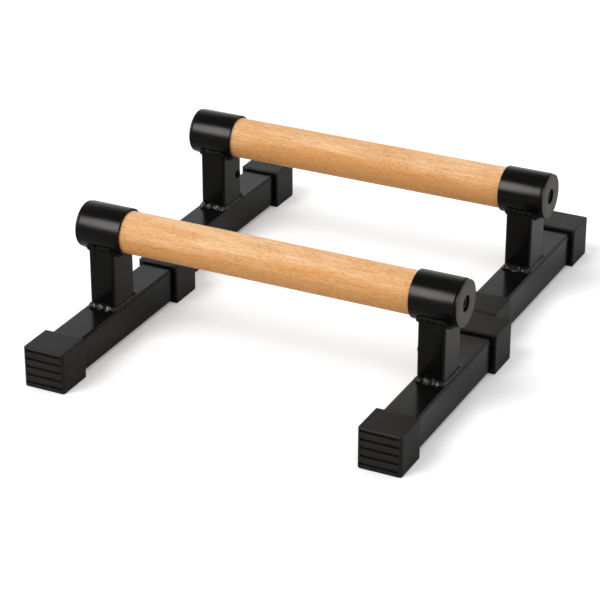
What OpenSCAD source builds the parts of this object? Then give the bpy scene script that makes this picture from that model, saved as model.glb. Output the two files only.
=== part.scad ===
// Pair of low parallette bars. Each bar is a round beech handle held between two welded steel stands,
// and each stand is an upright on a floor beam with a rubber cover pulled over either end.
// X runs along the handles, Y along the floor beams and Z up. The origin is on the floor, midway between
// the two bars. A bar is built about its own centre; the rear bar is the same bar turned by half a turn.

/* [Pair] */
// Gap along Y between the covers of the two bars
pair_gap = 2; // [1:1:120]
// Sideways offset of one bar from the other along X
pair_offset = 17; // [0:1:40]

/* [Handle] */
// Diameter of the wooden handle
handle_d = 38; // [34:0.5:40]
// Height of the handle's axis above the floor
handle_z = 106; // [96:1:160]
// Length of the steel sleeves plus the wood between them, without the end caps
frame_length = 358; // [320:1:460]
// Chamfer on the handle's ends
handle_chamfer = 1; // [0.5:0.1:2]

/* [Sleeve] */
// Wall thickness of the round sleeve
sleeve_wall = 2; // [1.5:0.1:3]
// Length of each sleeve
sleeve_length = 41; // [40:0.5:60]
// Gap all round between the handle and the sleeve
handle_gap = 0.2; // [0.1:0.05:0.4]

/* [Upright] */
// Width of the upright along X
upright_w = 25; // [20:0.5:28]
// Depth of the upright along Y
upright_d = 35; // [30:0.5:38]
// Wall thickness of the upright
upright_wall = 2; // [1.5:0.1:3]
// Outer corner radius of the upright
upright_corner = 2.5; // [2.1:0.1:4]

/* [Beam] */
// Length of the floor beam
beam_length = 228; // [180:1:300]
// Width and height of the square floor beam
beam_size = 32; // [30:0.5:40]
// Wall thickness of the beam
beam_wall = 2; // [1.5:0.1:3]
// Outer corner radius of the beam
beam_corner = 2.5; // [2.1:0.1:3]

/* [Foot covers] */
// Length of a foot cover along the beam
cover_length = 37; // [30:0.5:50]
// Rubber thickness beside the beam
cover_side = 3.9; // [3:0.1:6]
// Rubber thickness above and below the beam
cover_sole = 2.9; // [2.5:0.1:5]
// Rubber thickness of the closed end
cover_end = 4; // [3:0.1:6]
// Gap all round between the beam and the cover
cover_gap = 0.1; // [0.05:0.05:0.3]
// Corner radius of the cover's closed end
cover_corner = 3; // [1.5:0.1:5]
// Number of grooves in the end face
groove_count = 5; // [3:1:7]
// Distance from the cover's underside to the middle of the lowest groove
groove_low = 5; // [3:0.1:8]
// Distance from the cover's top to the middle of the highest groove
groove_high = 3; // [2.5:0.1:8]
// Width of a groove
groove_w = 1.8; // [0.8:0.1:2]
// Depth of a groove
groove_depth = 1.8; // [0.6:0.1:2]

/* [End caps] */
// Diameter of the cap's flange
flange_d = 41.2; // [40:0.1:42]
// Thickness of the cap's flange
flange_t = 2.4; // [2:0.1:4]
// Radius on the flange's outer edge
flange_edge = 0.8; // [0.4:0.1:1.2]
// Height of the narrow neck that leaves a seam between the flange and the sleeve
neck_t = 0.6; // [0.3:0.1:1]
// Depth of that seam below the flange
neck_depth = 1; // [0.5:0.1:1.4]
// Thickness of the cap's wall below the lock washer
cap_seat_t = 3; // [1.5:0.1:5]
// Gap all round between the spigot and the sleeve
spigot_gap = 0.1; // [0.05:0.05:0.3]
// Diameter of the screw hole in the cap's face
counterbore_d = 14.2; // [14:0.1:18]
// Depth of the ring groove near the rim of the cap's face
face_groove_depth = 0.3; // [0.2:0.05:0.6]
// Width of that ring groove
face_groove_w = 0.5; // [0.3:0.1:1]
// Diameter of the middle of that ring groove
face_groove_d = 37.6; // [30:0.1:38]

/* [Screws] */
// Thread diameter of the handle screws
screw_d = 8; // [6:0.5:8]
// Length of the screw's shank below its head
screw_length = 30; // [24:1:40]
// Diameter of the socket head
head_d = 13; // [10:0.1:13.4]
// Height of the socket head
head_h = 8; // [6:0.5:9]
// How far the head lies below the cap's face
head_recess = 2; // [1:0.1:4]
// Width across the flats of the head's hexagon socket
socket_af = 6; // [4:0.5:8]
// Depth of the hexagon socket
socket_depth = 4; // [2:0.1:5]
// Outer diameter of the lock washer
washer_d = 12.8; // [12:0.1:13.6]
// Thickness of the lock washer
washer_t = 2; // [1.5:0.1:2.5]
// Width of the lock washer's slit
washer_slit = 1; // [0.5:0.1:2]
// Outer diameter of the threaded insert in the wood
insert_d = 12; // [11:0.1:14]
// Length of the threaded insert
insert_length = 20; // [12:0.5:24]
// Gap all round a screw in its washer, cap or insert
screw_gap = 0.2; // [0.1:0.05:0.3]
// Gap all round the insert in the wood
insert_gap = 0.05; // [0.02:0.01:0.1]
// Empty hole in the wood beyond the screw's tip
drill_past = 5; // [2:0.5:10]

/* [Welds] */
// Leg of the fillet weld on the front and back of the upright's foot
foot_weld_leg = 5; // [3:0.1:6]
// Leg of the fillet weld on the sides of the upright's foot
foot_weld_side = 2.8; // [2:0.1:3]
// Radius of the bead between the upright and the sleeve
sleeve_weld_r = 2.4; // [1.5:0.1:3]

/* [Vent plug] */
// Diameter of the vent hole in one upright
vent_d = 5; // [3:0.1:6]
// Distance of the vent hole below the handle's axis
vent_drop = 44; // [32:1:50]
// Distance of the vent hole from the upright's edge
vent_edge = 6.5; // [6.5:0.1:12]
// Diameter of the plug's domed head
plug_head_d = 8; // [7:0.1:8]
// Height of the plug's domed head
plug_head_h = 1.2; // [1:0.1:3]
// Gap all round the plug's stem
plug_gap = 0.05; // [0.02:0.01:0.1]

/* [Hidden] */
$fn = 96;
// How far a cutting shape reaches past the face that it opens
cut = 1;
// Least corner radius inside a rectangular tube
inner_corner = 0.5;
front = -1;
back = 1;
left = -1;
right = 1;
sides = [left, right];

sleeve_id = handle_d + 2 * handle_gap;
sleeve_od = sleeve_id + 2 * sleeve_wall;
sleeve_x = (frame_length - sleeve_length) / 2;
cap_x = frame_length / 2 + neck_t + flange_t;
stand_x = sleeve_x;

beam_z = cover_sole + cover_gap;
beam_top = beam_z + beam_size;
cover_w = beam_size + 2 * (cover_gap + cover_side);
cover_h = beam_size + 2 * (cover_gap + cover_sole);
cover_y = beam_length / 2 + cover_end;
pair_spacing = 2 * cover_y + pair_gap;
groove_length = cover_w - 2 * cover_corner;
groove_pitch = (cover_h - groove_low - groove_high) / (groove_count - 1);

head_x = cap_x - head_recess - head_h;
seat_x = head_x - washer_t;
spigot_x = seat_x - cap_seat_t;
hole_d = screw_d + 2 * screw_gap;
saddle_drop = sqrt(pow(sleeve_od / 2, 2) - pow(upright_d / 2, 2));
vent_y = vent_edge - upright_d / 2;
vent_z = handle_z - vent_drop;

steel_black = [0.13, 0.13, 0.13];
cap_black = [0.20, 0.19, 0.18];
rubber_black = [0.22, 0.22, 0.22];
beech = [0.90, 0.72, 0.50];
zinc = [0.45, 0.45, 0.46];

// Places that a piece is moved to

// Puts a bar's pieces at the front bar's place
module front_bar() {
    translate([pair_offset / 2, -pair_spacing / 2, 0]) children();
}

// Puts a bar's pieces at the rear bar's place: the front bar's, turned by half a turn
module rear_bar() {
    rotate([0, 0, 180]) front_bar() children();
}

// Lays what is built along +Z onto the handle's axis, pointing to the given end
module on_axis(side) {
    translate([0, 0, handle_z]) rotate([0, side * 90, 0]) children();
}

// Repeats an axial piece at both ends of the bar
module at_both_ends() {
    for (side = sides) on_axis(side) children();
}

// Shapes that several pieces share

// Flat rectangle with round corners, centred
module rounded_rectangle(w, d, r) {
    union() {
        square([w - 2 * r, d], center = true);
        square([w, d - 2 * r], center = true);
        for (x = sides, y = sides)
            translate([x * (w / 2 - r), y * (d / 2 - r)]) circle(r);
    }
}

// Section of a rectangular tube
module tube_section(w, d, wall, r) {
    difference() {
        rounded_rectangle(w, d, r);
        rounded_rectangle(w - 2 * wall, d - 2 * wall, max(r - wall, inner_corner));
    }
}

// Solid cylinder along the handle's axis over the whole bar
module along_bar(d) {
    translate([0, 0, handle_z]) rotate([0, 90, 0]) cylinder(d = d, h = frame_length, center = true);
}

// Fillet of triangular section along X, standing on z = 0, with an upright toe that reaches below it
module fillet(length, leg_out, leg_up) {
    rotate([90, 0, 90]) linear_extrude(length, center = true)
        polygon([[0, -beam_corner], [leg_out, -beam_corner], [leg_out, 0], [0, leg_up]]);
}

// Wooden handle and its steel sleeves

module handle() {
    half = spigot_x;
    drill_depth = half - (head_x - screw_length) + drill_past;
    color(beech) difference() {
        translate([0, 0, handle_z]) rotate([0, 90, 0]) rotate_extrude() polygon([
            [0, -half], [handle_d / 2 - handle_chamfer, -half], [handle_d / 2, -half + handle_chamfer],
            [handle_d / 2, half - handle_chamfer], [handle_d / 2 - handle_chamfer, half], [0, half]
        ]);
        at_both_ends() translate([0, 0, half - drill_depth]) cylinder(d = hole_d, h = drill_depth + cut);
        at_both_ends() translate([0, 0, half - insert_length])
            cylinder(d = insert_d + 2 * insert_gap, h = insert_length + cut);
    }
}

module sleeve(side) {
    color(steel_black) translate([side * sleeve_x, 0, handle_z]) rotate([0, 90, 0]) difference() {
        cylinder(d = sleeve_od, h = sleeve_length, center = true);
        cylinder(d = sleeve_id, h = sleeve_length + 2 * cut, center = true);
    }
}

// Steel stand

module upright(side, vented) {
    height = handle_z - beam_top;
    color(steel_black) difference() {
        translate([side * stand_x, 0, beam_top]) linear_extrude(height)
            tube_section(upright_w, upright_d, upright_wall, upright_corner);
        along_bar(sleeve_od);
        if (vented) translate([side * (stand_x - upright_w / 2), vent_y, vent_z])
            rotate([0, 90, 0]) cylinder(d = vent_d, h = 2 * (upright_wall + cut), center = true);
    }
}

module beam(side) {
    color(steel_black) translate([side * stand_x, 0, beam_z + beam_size / 2]) rotate([90, 0, 0])
        linear_extrude(beam_length, center = true)
            tube_section(beam_size, beam_size, beam_wall, beam_corner);
}

// Solid outside of an upright, cut from the weld beads around it
module upright_block(side) {
    translate([side * stand_x, 0, 0]) linear_extrude(handle_z)
        rounded_rectangle(upright_w, upright_d, upright_corner);
}

// Solid outside of a beam, cut from the weld bead that stands on it
module beam_block(side) {
    translate([side * stand_x, 0, beam_z + beam_size / 2]) rotate([90, 0, 0])
        linear_extrude(beam_length, center = true) rounded_rectangle(beam_size, beam_size, beam_corner);
}

module foot_weld(side) {
    color(steel_black) difference() {
        translate([side * stand_x, 0, beam_top]) union() {
            for (end = [0, 180]) rotate([0, 0, end]) translate([0, upright_d / 2 - upright_corner, 0])
                fillet(upright_w, foot_weld_leg + upright_corner, foot_weld_leg + upright_corner);
            for (end = [90, 270]) rotate([0, 0, end]) translate([0, upright_w / 2 - upright_corner, 0])
                fillet(upright_d, foot_weld_side + upright_corner, foot_weld_side + upright_corner);
        }
        upright_block(side);
        beam_block(side);
    }
}

module sleeve_weld(side) {
    bead_z = handle_z - saddle_drop;
    color(steel_black) difference() {
        union() {
            for (y = sides) translate([side * stand_x, y * upright_d / 2, bead_z]) rotate([0, 90, 0])
                cylinder(r = sleeve_weld_r, h = upright_w, center = true);
            for (x = sides) translate([side * stand_x + x * upright_w / 2, 0, 0]) intersection() {
                translate([0, 0, handle_z]) rotate([0, 90, 0]) rotate_extrude()
                    translate([sleeve_od / 2, 0]) circle(sleeve_weld_r);
                translate([-sleeve_od / 2, -upright_d / 2, 0]) cube([sleeve_od, upright_d, bead_z]);
            }
        }
        along_bar(sleeve_od);
        upright_block(side);
    }
}

module vent_plug() {
    dome_r = (pow(plug_head_d / 2, 2) + pow(plug_head_h, 2)) / (2 * plug_head_h);
    stem = upright_wall + cut;
    color(rubber_black) translate([stand_x - upright_w / 2, vent_y, vent_z]) rotate([0, -90, 0]) {
        translate([0, 0, -stem]) cylinder(d = vent_d - 2 * plug_gap, h = stem + cut / 2);
        intersection() {
            translate([0, 0, plug_head_h - dome_r]) sphere(dome_r);
            cylinder(d = plug_head_d + cut, h = plug_head_h + cut);
        }
    }
}

// Rubber cover on a beam's end

module foot_cover(side, end) {
    inner = cover_length - cover_end;
    color(rubber_black) translate([side * stand_x, 0, 0]) rotate([0, 0, end == front ? 0 : 180])
        translate([0, -cover_y, 0]) difference() {
            linear_extrude(cover_h) union() {
                for (x = sides)
                    translate([x * (cover_w / 2 - cover_corner), cover_corner]) circle(cover_corner);
                translate([cover_corner - cover_w / 2, 0]) square([groove_length, cover_length]);
                translate([-cover_w / 2, cover_corner]) square([cover_w, cover_length - cover_corner]);
            }
            translate([0, cover_end + (inner + cut) / 2, cover_h / 2]) rotate([90, 0, 0])
                linear_extrude(inner + cut, center = true)
                    rounded_rectangle(beam_size + 2 * cover_gap, beam_size + 2 * cover_gap, beam_corner);
            for (i = [0:groove_count - 1])
                translate([-groove_length / 2, -cut, groove_low + i * groove_pitch - groove_w / 2])
                    cube([groove_length, groove_depth + cut, groove_w]);
        }
}

// End cap, screw, washer and insert on the handle's axis

// Half section of the cap: X is the radius and Y the distance along the handle's axis
module end_cap_section() {
    flange_r = flange_d / 2;
    difference() {
        union() {
            translate([0, spigot_x]) square([sleeve_id / 2 - spigot_gap, frame_length / 2 - spigot_x]);
            translate([0, frame_length / 2]) square([flange_r - neck_depth, neck_t]);
            translate([0, cap_x - flange_t]) square([flange_r - flange_edge, flange_t]);
            translate([0, cap_x - flange_t]) square([flange_r, flange_t - flange_edge]);
            translate([flange_r - flange_edge, cap_x - flange_edge]) circle(flange_edge);
        }
        translate([0, spigot_x - cut]) square([hole_d / 2, cap_x - spigot_x]);
        translate([0, seat_x]) square([counterbore_d / 2, cap_x - seat_x + cut]);
        translate([(face_groove_d - face_groove_w) / 2, cap_x - face_groove_depth])
            square([face_groove_w, face_groove_depth + cut]);
    }
}

module end_cap(side) {
    color(cap_black) on_axis(side) rotate_extrude() end_cap_section();
}

module screws() {
    color(zinc) at_both_ends() difference() {
        union() {
            translate([0, 0, head_x - screw_length]) cylinder(d = screw_d, h = screw_length + cut);
            translate([0, 0, head_x]) cylinder(d = head_d, h = head_h);
        }
        translate([0, 0, head_x + head_h - socket_depth])
            cylinder(d = socket_af / cos(30), h = socket_depth + cut, $fn = 6);
    }
}

module lock_washers() {
    color(zinc) at_both_ends() translate([0, 0, seat_x]) difference() {
        cylinder(d = washer_d, h = washer_t);
        translate([0, 0, -cut]) cylinder(d = hole_d, h = washer_t + 2 * cut);
        translate([0, -washer_slit / 2, -cut]) cube([washer_d, washer_slit, washer_t + 2 * cut]);
    }
}

module inserts() {
    color(zinc) at_both_ends() translate([0, 0, spigot_x - insert_length]) difference() {
        cylinder(d = insert_d, h = insert_length);
        translate([0, 0, -cut]) cylinder(d = hole_d, h = insert_length + 2 * cut);
    }
}

front_bar() handle();  // front_handle
front_bar() sleeve(left);  // front_left_sleeve
front_bar() sleeve(right);  // front_right_sleeve
front_bar() upright(left, false);  // front_left_upright
front_bar() upright(right, true);  // front_right_upright
front_bar() beam(left);  // front_left_beam
front_bar() beam(right);  // front_right_beam
front_bar() sleeve_weld(left);  // front_left_sleeve_weld
front_bar() sleeve_weld(right);  // front_right_sleeve_weld
front_bar() foot_weld(left);  // front_left_foot_weld
front_bar() foot_weld(right);  // front_right_foot_weld
front_bar() foot_cover(left, front);  // front_left_near_cover
front_bar() foot_cover(left, back);  // front_left_far_cover
front_bar() foot_cover(right, front);  // front_right_near_cover
front_bar() foot_cover(right, back);  // front_right_far_cover
front_bar() end_cap(left);  // front_left_end_cap
front_bar() end_cap(right);  // front_right_end_cap
front_bar() screws();  // front_screws
front_bar() lock_washers();  // front_lock_washers
front_bar() inserts();  // front_inserts
front_bar() vent_plug();  // front_vent_plug
rear_bar() handle();  // rear_handle
rear_bar() sleeve(right);  // rear_left_sleeve
rear_bar() sleeve(left);  // rear_right_sleeve
rear_bar() upright(right, true);  // rear_left_upright
rear_bar() upright(left, false);  // rear_right_upright
rear_bar() beam(right);  // rear_left_beam
rear_bar() beam(left);  // rear_right_beam
rear_bar() sleeve_weld(right);  // rear_left_sleeve_weld
rear_bar() sleeve_weld(left);  // rear_right_sleeve_weld
rear_bar() foot_weld(right);  // rear_left_foot_weld
rear_bar() foot_weld(left);  // rear_right_foot_weld
rear_bar() foot_cover(right, back);  // rear_left_near_cover
rear_bar() foot_cover(right, front);  // rear_left_far_cover
rear_bar() foot_cover(left, back);  // rear_right_near_cover
rear_bar() foot_cover(left, front);  // rear_right_far_cover
rear_bar() end_cap(right);  // rear_left_end_cap
rear_bar() end_cap(left);  // rear_right_end_cap
rear_bar() screws();  // rear_screws
rear_bar() lock_washers();  // rear_lock_washers
rear_bar() inserts();  // rear_inserts
rear_bar() vent_plug();  // rear_vent_plug
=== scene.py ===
# %% [markdown]
# # A pair of parallette bars
# Two low bars stand on the floor, each with a round beech handle between two black steel stands. The
# construction model is loaded first and never moved, and says where every piece sits. The scene gives each
# piece its finish, and a fuller shape where the real piece has more to show than the plain one.

import math

import bmesh
import bpy
from mathutils import Matrix, Vector


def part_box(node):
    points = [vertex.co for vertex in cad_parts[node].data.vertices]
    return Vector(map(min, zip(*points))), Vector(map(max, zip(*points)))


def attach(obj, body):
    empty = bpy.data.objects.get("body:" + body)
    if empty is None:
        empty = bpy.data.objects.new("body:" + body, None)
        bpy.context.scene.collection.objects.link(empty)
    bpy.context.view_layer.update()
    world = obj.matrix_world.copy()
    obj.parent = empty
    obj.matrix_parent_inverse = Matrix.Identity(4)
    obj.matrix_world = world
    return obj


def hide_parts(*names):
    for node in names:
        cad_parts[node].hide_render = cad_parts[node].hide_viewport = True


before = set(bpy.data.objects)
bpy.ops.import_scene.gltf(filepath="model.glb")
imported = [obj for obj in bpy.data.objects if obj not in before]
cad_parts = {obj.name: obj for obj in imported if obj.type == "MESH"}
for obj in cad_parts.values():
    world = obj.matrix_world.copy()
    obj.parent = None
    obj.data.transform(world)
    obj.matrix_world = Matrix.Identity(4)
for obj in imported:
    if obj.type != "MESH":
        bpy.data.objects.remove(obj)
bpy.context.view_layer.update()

# %% [markdown]
# Every piece is made once, in millimetres and in one bar's own frame: X along the handle, Y along the feet
# and Z up from the floor under the bar's middle. It is then put on both bars, because the rear bar is the
# same bar turned by half a turn. A piece on the right of the front bar is therefore on the left of the rear
# one, and the names follow what is seen from the front.

# %% Where the bars stand
MM = 0.001
LEFT, RIGHT = -1, 1
FRONT, BACK = -1, 1


def bar_place(bar):
    """The matrix from a bar's own frame in millimetres to the row frame in metres."""
    low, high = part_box(f"{bar}_handle")
    middle = Vector(((low.x + high.x) / 2, (low.y + high.y) / 2, 0))
    turn = Matrix.Rotation(math.pi if bar == "rear" else 0, 4, "Z")
    return Matrix.Translation(middle) @ turn @ Matrix.Scale(MM, 4)


def seen(bar, way, names):
    """The first name for what is left or near as seen from the front, and the second for the other."""
    return names[0 if (way < 0) == bar.startswith("front") else 1]


BARS = {bar: bar_place(bar) for bar in ("front", "rear")}
STANDS = {f"{bar}_{seen(bar, side, ('left', 'right'))}": side for bar in BARS for side in (LEFT, RIGHT)}
for bar, place in BARS.items():
    print(bar, "bar stands at", [round(v / MM, 1) for v in place.translation], "mm")

# %% [markdown]
# The driving sizes are read off the front bar's nodes. A round face is a ring of small flats in the frame,
# so a reading is rounded to a tenth of a millimetre, which gives the true size again.

# %% Driving sizes
def extent(node):
    """The low and the high corner of a node of the front bar, in the bar's own frame."""
    middle = BARS["front"].translation
    return [tuple(round((v - m) / MM, 1) for v, m in zip(corner, middle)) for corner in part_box(node)]


handle_low, handle_high = extent("front_handle")
HANDLE_END = handle_high[0]
HANDLE_R = (handle_high[2] - handle_low[2]) / 2
AXIS_Z = handle_low[2] + HANDLE_R

sleeve_low, sleeve_high = extent("front_right_sleeve")
SLEEVE_IN, SLEEVE_OUT = sleeve_low[0], sleeve_high[0]
SLEEVE_R = round(AXIS_Z - sleeve_low[2], 1)

cap_high = extent("front_right_end_cap")[1]
CAP_FACE = cap_high[0]
FLANGE_R = round(cap_high[2] - AXIS_Z, 1)
SCREW_END = extent("front_screws")[1][0]

upright_low, upright_high = extent("front_right_upright")
UPRIGHT_W = upright_high[0] - upright_low[0]
UPRIGHT_D = upright_high[1] - upright_low[1]
STAND_X = upright_low[0] + UPRIGHT_W / 2
BEAM_TOP = upright_low[2]

cover_low, cover_high = extent("front_right_near_cover")
WIDTH, LENGTH, HEIGHT = (high - low for low, high in zip(cover_low, cover_high))
COVER_END = -cover_low[1]

plug_low, plug_high = extent("front_vent_plug")
PLUG_R = (plug_high[2] - plug_low[2]) / 2
VENT_PLACE = (upright_low[0], (plug_low[1] + plug_high[1]) / 2, plug_low[2] + PLUG_R)
print("handle axis", AXIS_Z, "mm up, stands", STAND_X, "mm out, beams", BEAM_TOP, "mm high")

# %% [markdown]
# One helper shades a finished mesh smooth, puts it in its place and ties it to the body that carries it. The
# place goes into the mesh, and the object stays at the origin.

# %% Put a finished mesh in its place
def raw_mesh(name, points, edges=(), faces=()):
    mesh = bpy.data.meshes.new(name)
    mesh.from_pydata([tuple(p) for p in points], list(edges), list(faces))
    mesh.update()
    return mesh


def closed_loop(name, points):
    """A mesh of edges only, from each point to the next and back to the first."""
    return raw_mesh(name, points, [(i, (i + 1) % len(points)) for i in range(len(points))])


def new_object(name, data):
    """An object that is part of the scene."""
    item = bpy.data.objects.new(name, data)
    bpy.context.scene.collection.objects.link(item)
    return item


def face_outward(mesh, apart=0.001):
    """Joins points that fall together, and turns every normal outward."""
    work = bmesh.new()
    work.from_mesh(mesh)
    bmesh.ops.remove_doubles(work, verts=work.verts, dist=apart)
    bmesh.ops.recalc_face_normals(work, faces=work.faces)
    work.to_mesh(mesh)
    work.free()


def smooth(mesh, angle=32):
    """Shades the mesh smooth, apart from edges sharper than the angle."""
    for face in mesh.polygons:
        face.use_smooth = True
    mesh.set_sharp_from_angle(angle=math.radians(angle))


def settle(mesh, node, form, turn=None):
    """Puts a copy of a mesh in the place of a node, on the bar that the node's name begins with."""
    bar = node.split("_")[0]
    copy = mesh.copy()
    face_outward(copy)
    copy.transform(BARS[bar] @ (turn or Matrix.Identity(4)))
    smooth(copy)
    piece = new_object(f"{node}_{form}", copy)
    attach(piece, f"{bar}_bar")
    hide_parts(node)


# %% [markdown]
# Shapes, materials, shared effects and the sky are all node trees. One small class builds every kind: it adds
# a node, sets what is fixed and links what comes from another node. An input is given by its name, or by its
# number where several share one name.

# %% A short way to build node trees
class Graph:
    """Adds nodes to a tree. A value that is another node's output is linked, and any other is set."""

    def __init__(self, tree):
        self.tree = tree

    def feed(self, socket, value):
        if isinstance(value, bpy.types.NodeSocket):
            self.tree.links.new(value, socket)
        else:
            socket.default_value = value

    def node(self, kind, settings=None, **values):
        """Adds a node. Its input "Scale" is fed by Scale=..., and its first input by i0=..."""
        node = self.tree.nodes.new(kind)
        for key, value in (settings or {}).items():
            setattr(node, key, value)
        for key, value in values.items():
            self.feed(node.inputs[int(key[1:]) if key[1:].isdigit() else key.replace("_", " ")], value)
        return node

    def add(self, kind, outlet=0, settings=None, **values):
        """Adds a node and returns one of its outputs."""
        return self.node(kind, settings, **values).outputs[outlet]

    def math(self, operation, *values):
        numbered = {f"i{i}": value for i, value in enumerate(values)}
        return self.add("ShaderNodeMath", settings={"operation": operation}, **numbered)

    def plus(self, first, second):
        return self.math("ADD", first, second)

    def minus(self, first, second):
        return self.math("SUBTRACT", first, second)

    def times(self, first, *others):
        for other in others:
            first = self.math("MULTIPLY", first, other)
        return first

    def parts(self, vector):
        """The X, Y and Z of a vector, by name."""
        return self.node("ShaderNodeSeparateXYZ", i0=vector).outputs

    def vector(self, **parts):
        return self.add("ShaderNodeCombineXYZ", **parts)

    def dot(self, first, second):
        return self.add("ShaderNodeVectorMath", outlet="Value", settings={"operation": "DOT_PRODUCT"},
                        i0=first, i1=second)

    def span(self, value, low, high, from_low=0.0, from_high=1.0, kind="LINEAR"):
        """Moves a value from one range to another, and stops it at the ends."""
        return self.add("ShaderNodeMapRange", settings={"interpolation_type": kind}, Value=value,
                        i1=from_low, i2=from_high, i3=low, i4=high)

    def mix(self, factor, first, second):
        return self.add("ShaderNodeMix", i0=factor, i2=first, i3=second)

    def blend(self, factor, first, second):
        """Mixes two colours."""
        return self.add("ShaderNodeMix", outlet=2, settings={"data_type": "RGBA"}, i0=factor, i6=first,
                        i7=second)

    def object_place(self):
        return self.add("ShaderNodeTexCoord", outlet="Object")

    def noise(self, scale, detail=3.0, roughness=0.5, stretch=None):
        """Noise on the piece's own coordinates, finer along an axis where the stretch is greater."""
        place = self.object_place()
        if stretch:
            place = self.add("ShaderNodeMapping", Vector=place, Scale=stretch)
        return self.add("ShaderNodeTexNoise", Vector=place, Scale=scale, Detail=detail, Roughness=roughness)


# %% [markdown]
# A Geometry Nodes tree takes a mesh, a material and a few named numbers, and ends in real geometry with
# that material. Its inputs are set by the socket's identifier, and the result is read back as a plain mesh,
# so that nothing live is left on the finished piece.

# %% Geometry Nodes trees
class Tree(Graph):
    """A Geometry Nodes tree with named inputs, and one geometry output."""

    def __init__(self, name, numbers, counts=()):
        super().__init__(bpy.data.node_groups.new(name, "GeometryNodeTree"))
        inputs = [("Shape", "Geometry"), ("Material", "Material")]
        inputs += [(label, "Float") for label in numbers] + [(label, "Int") for label in counts]
        new_socket = self.tree.interface.new_socket
        for label, kind in inputs:
            new_socket(name=label, in_out="INPUT", socket_type="NodeSocket" + kind)
        new_socket(name="Shape", in_out="OUTPUT", socket_type="NodeSocketGeometry")
        self.given = self.node("NodeGroupInput").outputs
        self.result = self.node("NodeGroupOutput").inputs[0]

    def end(self, shape):
        """Closes the tree: instances become real geometry and everything takes the material."""
        real = self.add("GeometryNodeRealizeInstances", Geometry=shape)
        done = self.add("GeometryNodeSetMaterial", Geometry=real, Material=self.given["Material"])
        self.feed(self.result, done)

    def run(self, mesh, name, **values):
        """Runs the tree on a mesh and returns the result as a plain mesh."""
        holder = new_object(name, mesh)
        modifier = holder.modifiers.new(self.tree.name, "NODES")
        modifier.node_group = self.tree
        for item in self.tree.interface.items_tree:
            key = item.name.replace(" ", "_")
            if item.in_out == "INPUT" and key in values:
                modifier[item.identifier] = values[key]
        graph = bpy.context.evaluated_depsgraph_get()
        result = bpy.data.meshes.new_from_object(holder.evaluated_get(graph))
        result.name = name
        bpy.data.objects.remove(holder)
        return result


# %% [markdown]
# ## Finishes
# Several finishes share the same small effects: paint worn thin on edges, dust on the faces that look up,
# and a fine grain. Each is a node group that gives a mask only, so that every material can mix it in its
# own way. Their noise uses Object coordinates, which stay with the piece when it moves.

# %% Shared effects
def mask_group(name, inputs, build):
    """A shader node group with named inputs that puts out one mask."""
    group = bpy.data.node_groups.new(name, "ShaderNodeTree")
    for label, value in inputs.items():
        socket = group.interface.new_socket(name=label, in_out="INPUT", socket_type="NodeSocketFloat")
        socket.default_value = value
    group.interface.new_socket(name="Mask", in_out="OUTPUT", socket_type="NodeSocketFloat")
    mask = Graph(group)
    given = mask.node("NodeGroupInput").outputs
    end = mask.node("NodeGroupOutput")
    mask.feed(end.inputs[0], build(mask, given))
    return group


def worn_edges(mask, given):
    """Finds edges by how far the true normal is from one that is rounded over the width."""
    true_normal = mask.add("ShaderNodeNewGeometry", outlet="Normal")
    round_normal = mask.add("ShaderNodeBevel", settings={"samples": 4}, Radius=given["Width"])
    edge = mask.span(mask.dot(true_normal, round_normal), 0.0, 1.0, 0.999, 0.90)
    broken = mask.span(mask.noise(given["Patch Scale"]), 0.15, 1.0, 0.40, 0.62)
    return mask.times(edge, broken)


def settled_dust(mask, given):
    """Thin clouds on the faces that look up."""
    normal = mask.add("ShaderNodeNewGeometry", outlet="Normal")
    faces_up = mask.span(mask.parts(normal)["Z"], 0.0, 1.0, 0.2, 1.0)
    cloud = mask.noise(given["Cloud Scale"], detail=6.0, roughness=0.65)
    patchy = mask.span(cloud, 0.2, 1.0, 0.35, 0.75)
    return mask.times(faces_up, patchy)


def fine_grain(mask, given):
    """Two sizes of grain, the finer one with a share of its own."""
    coarse = mask.noise(given["Grain Scale"], detail=2.0)
    fine = mask.noise(mask.times(given["Grain Scale"], 3.7), detail=2.0)
    return mask.plus(coarse, mask.times(fine, given["Fineness"]))


GROUPS = {
    "worn edges": mask_group("worn edges", {"Width": 0.0008, "Patch Scale": 90.0}, worn_edges),
    "settled dust": mask_group("settled dust", {"Cloud Scale": 40.0}, settled_dust),
    "fine grain": mask_group("fine grain", {"Grain Scale": 900.0, "Fineness": 0.5}, fine_grain),
}
print("shared effects:", ", ".join(GROUPS))

# %% [markdown]
# A finish is one material round one Principled shader. What is the same all over is set on the shader's
# own sockets, and only what varies over the surface is linked. In the photograph the gloss of paint and
# rubber is a little warm, and its tint carries that.

# %% A material in few words
WARM_GLINT = (1.0, 0.94, 0.90, 1)
FINISHES = {}


class Finish(Graph):
    """A material that is given its even values first."""

    def __init__(self, name, **even):
        self.material = bpy.data.materials.new(name)
        self.material.use_nodes = True
        super().__init__(self.material.node_tree)
        self.shader = self.tree.nodes["Principled BSDF"]
        self.drive(**even)

    def drive(self, **inputs):
        """Sets or links the shader's own inputs."""
        for key, value in inputs.items():
            self.feed(self.shader.inputs[key.replace("_", " ")], value)

    def effect(self, name, **values):
        return self.add("ShaderNodeGroup", settings={"node_tree": GROUPS[name]}, **values)

    def tint(self, mask, share, colour, over):
        """Lays a colour over another where the mask says, up to the share."""
        return self.blend(self.times(mask, share), colour, over)

    def bump(self, height, distance):
        self.drive(Normal=self.add("ShaderNodeBump", Height=height, Distance=distance, Strength=1.0))


def shade(colour, factor):
    """The same colour, lighter or darker."""
    return tuple(c * factor for c in colour[:3]) + (1,)


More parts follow.
